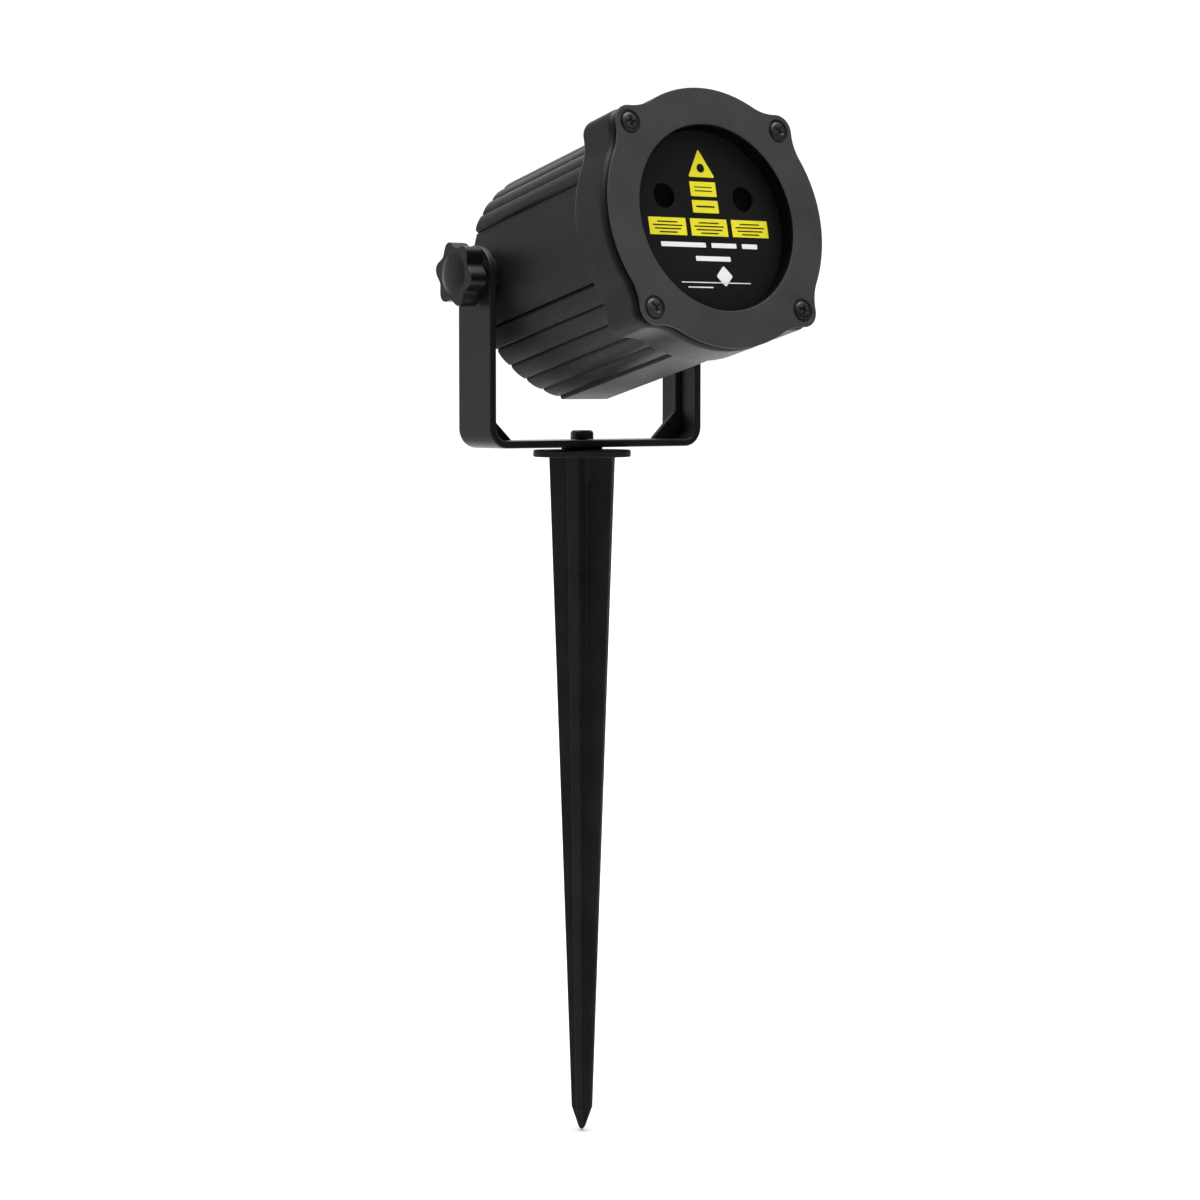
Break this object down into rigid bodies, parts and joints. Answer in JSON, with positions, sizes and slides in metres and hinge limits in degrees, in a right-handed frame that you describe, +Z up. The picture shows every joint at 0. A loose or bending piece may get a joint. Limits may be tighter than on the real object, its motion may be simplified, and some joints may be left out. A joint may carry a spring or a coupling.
{
  "type": "light projector stake",
  "caption": "Round finned projector head with an eared front ring, tilting in a U-shaped yoke on star knobs, on a long cross-section ground spike.",
  "frame": {"origin": "on the spike's axis at the underside of its round disc, which is the soil line", "axes": "+Z up along the spike, X along the head's tilt axis and the yoke's bar, -Y the way the head looks"},
  "size_m": [0.1384, 0.1311, 0.4534],
  "materials": {
    "cast_black": "black powder coat on cast aluminium, satin",
    "bezel_black": "black powder coat on cast aluminium, satin",
    "yoke_black": "black powder coat on cast aluminium, satin",
    "knob_black": "satin",
    "spike_black": "satin",
    "screw_black": "black oxide, satin",
    "panel_black": "satin",
    "print_yellow": "satin print",
    "print_white": "satin print",
    "seal_black": "matte",
    "glass_clear": "gloss",
    "steel": "satin zinc plating",
    "aluminium": "satin",
    "brass": "satin",
    "gear_white": "satin",
    "board_green": "satin",
    "component_black": "satin",
    "capacitor_blue": "gloss"
  },
  "bodies": {
    "stake": {"spike": "spike_black", "pan_insert": "brass", "pan_washer": "seal_black", "pan_bolt": "screw_black"},
    "yoke": {"yoke": "yoke_black"},
    "head": {"housing": "cast_black", "front_gasket": "seal_black", "front_bezel": "bezel_black", "front_screw_1": "screw_black", "front_screw_2": "screw_black", "front_screw_3": "screw_black", "front_screw_4": "screw_black", "mask_panel": "panel_black", "window_glass": "glass_clear", "window_oring": "seal_black", "rear_cover": "cast_black", "rear_gasket": "seal_black", "rear_screw_1": "screw_black", "rear_screw_2": "screw_black", "rear_screw_3": "screw_black", "rear_screw_4": "screw_black", "gland_body": "component_black", "gland_locknut": "component_black", "gland_nut": "component_black", "gland_seal": "seal_black", "left_friction_disc": "seal_black", "right_friction_disc": "seal_black", "carrier_plate": "aluminium", "carrier_screw_1": "steel", "carrier_screw_2": "steel", "carrier_screw_3": "steel", "carrier_screw_4": "steel", "heatsink": "aluminium", "red_laser_module": "brass", "green_laser_module": "brass", "grating_motor": "steel", "left_wheel_sleeve": "brass", "right_wheel_sleeve": "brass", "driver_board": "board_green", "board_standoff_1": "brass", "board_standoff_2": "brass", "board_standoff_3": "brass", "board_standoff_4": "brass", "power_connector": "gear_white", "filter_capacitor": "capacitor_blue", "driver_chip": "component_black"},
    "left_knob": {"left_knob": "knob_black", "left_stud": "steel", "left_knob_washer": "steel"},
    "right_knob": {"right_knob": "knob_black", "right_stud": "steel", "right_knob_washer": "steel"},
    "left_wheel": {"left_grating_wheel": "gear_white", "left_grating": "glass_clear"},
    "right_wheel": {"right_grating_wheel": "gear_white", "right_grating": "glass_clear"},
    "pinion": {"motor_shaft": "steel", "motor_pinion": "gear_white"}
  },
  "joints": [
    {"name": "yoke_pan", "type": "hinge", "parent": "stake", "child": "yoke", "pos_m": [0, 0, 0.00435], "axis": [0, 0, 1], "range_deg": [-180, 180]},
    {"name": "head_tilt", "type": "hinge", "parent": "yoke", "child": "head", "pos_m": [0, 0, 0.0783], "axis": [-1, 0, 0], "range_deg": [-44, 77.3]},
    {"name": "left_knob_turn", "type": "hinge", "parent": "head", "child": "left_knob", "pos_m": [-0.06, 0, 0.0783], "axis": [-1, 0, 0], "range_deg": [0, 450]},
    {"name": "right_knob_turn", "type": "hinge", "parent": "head", "child": "right_knob", "pos_m": [0.06, 0, 0.0783], "axis": [1, 0, 0], "range_deg": [0, 450]},
    {"name": "left_wheel_spin", "type": "hinge", "parent": "head", "child": "left_wheel", "pos_m": [-0.0205, 0.00231, 0.08854], "axis": [0, -0.9755, 0.2198], "continuous": true},
    {"name": "right_wheel_spin", "type": "hinge", "parent": "head", "child": "right_wheel", "pos_m": [0.0205, 0.00231, 0.08854], "axis": [0, -0.9755, 0.2198], "continuous": true},
    {"name": "pinion_spin", "type": "hinge", "parent": "head", "child": "pinion", "pos_m": [0, 0.00231, 0.08854], "axis": [0, -0.9755, 0.2198], "continuous": true}
  ],
  "couplings": [
    {"joint": "right_wheel_spin", "follows": "left_wheel_spin", "ratio": 1},
    {"joint": "pinion_spin", "follows": "left_wheel_spin", "ratio": -2.7273}
  ]
}
